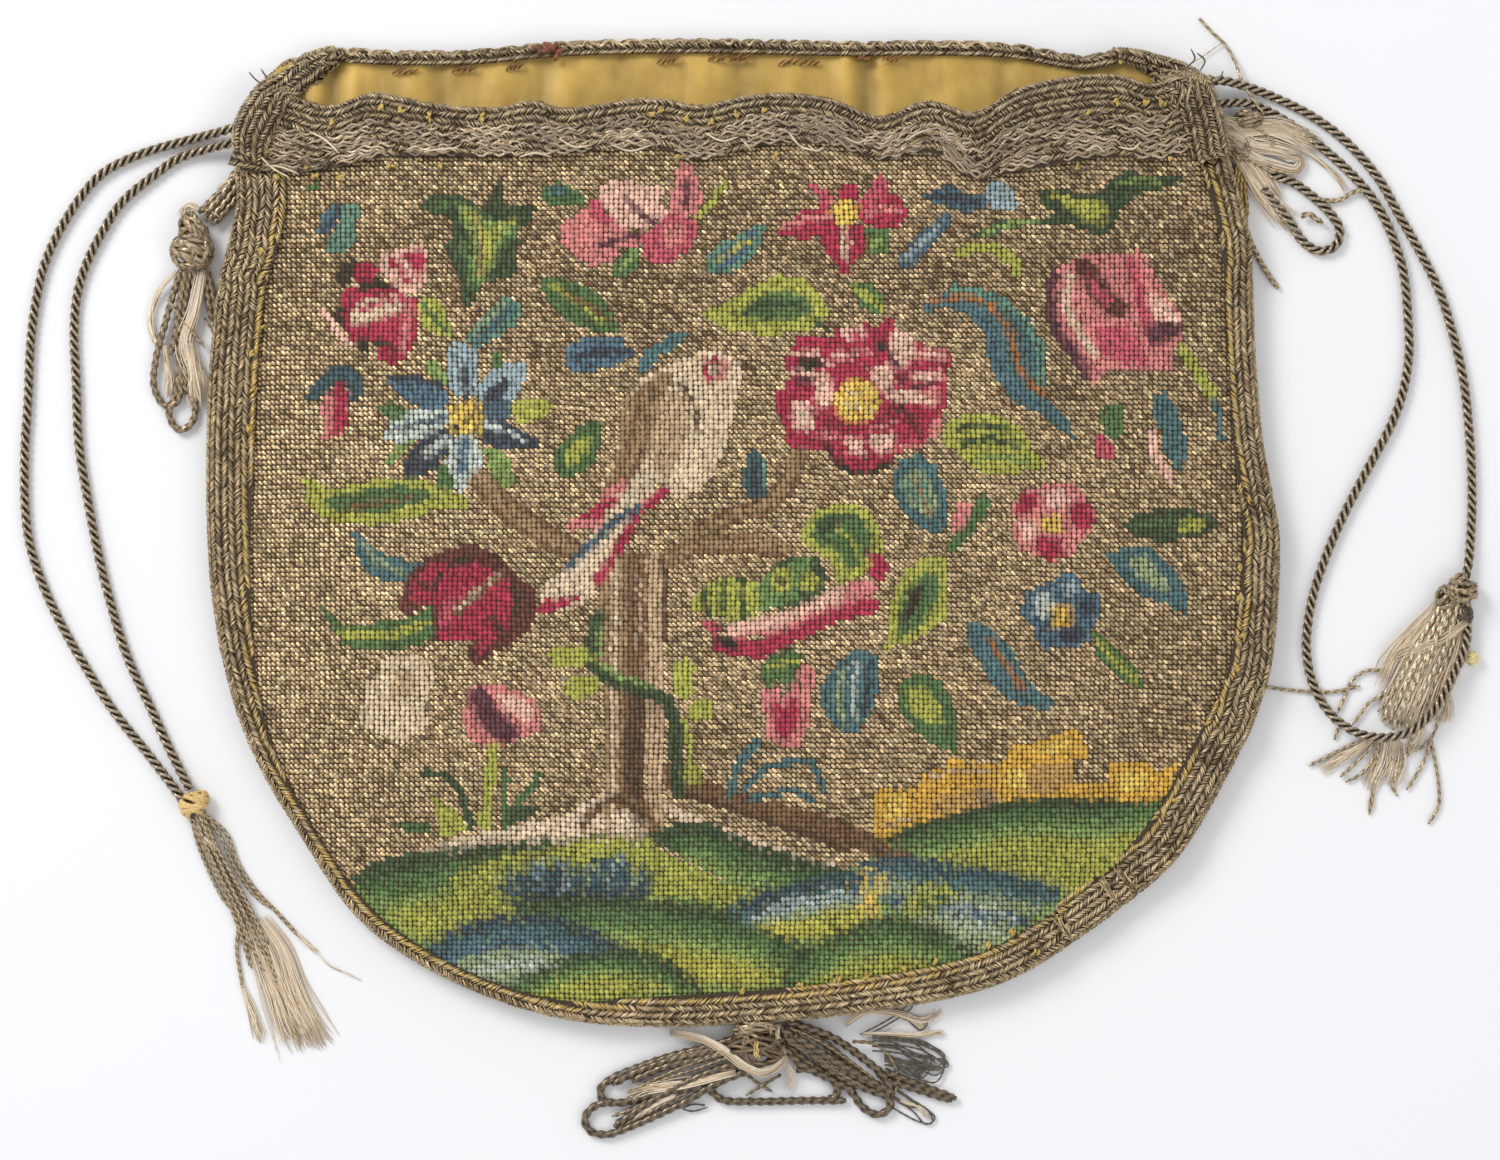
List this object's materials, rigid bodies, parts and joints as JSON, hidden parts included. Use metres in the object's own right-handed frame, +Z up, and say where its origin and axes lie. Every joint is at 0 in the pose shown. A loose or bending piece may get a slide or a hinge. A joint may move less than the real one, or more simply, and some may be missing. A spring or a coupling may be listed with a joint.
{
  "type": "reticule",
  "caption": "Soft needlework drawstring bag with a rounded base, metal braid edges, silk lining, cords at both mouth corners and tassels, lying on its back.",
  "frame": {"origin": "on the floor under the middle of the bag's own box, cords and their tassels left out", "axes": "+X across the bag to its right, +Y towards its mouth, +Z up from the floor that it lies on"},
  "size_m": [0.3637, 0.2718, 0.0196],
  "materials": {
    "needlework": "tent stitch in wool and metal thread, softly glinting",
    "silk_lining": "fine yellow silk with a soft sheen",
    "metal_braid": "woven tarnished metal thread, half gloss",
    "metal_cord": "twisted tarnished metal thread, half gloss",
    "tassel_threads": "frayed silk and metal threads"
  },
  "bodies": {
    "root": {"back_panel": "needlework", "front_panel": "needlework", "lining": "silk_lining", "side_braid": "metal_braid", "mouth_braid_front": "metal_braid", "mouth_braid_back": "metal_braid", "left_corner_tassel": "tassel_threads", "right_corner_tassel": "tassel_threads", "bottom_tassel": "tassel_threads", "cord_left_outer": "metal_cord", "cord_left_inner": "metal_cord", "cord_right_outer": "metal_cord", "cord_right_inner": "metal_cord", "cord_corner_loop": "metal_cord", "left_cord_tassel": "tassel_threads", "right_cord_tassel": "tassel_threads"}
  },
  "joints": []
}
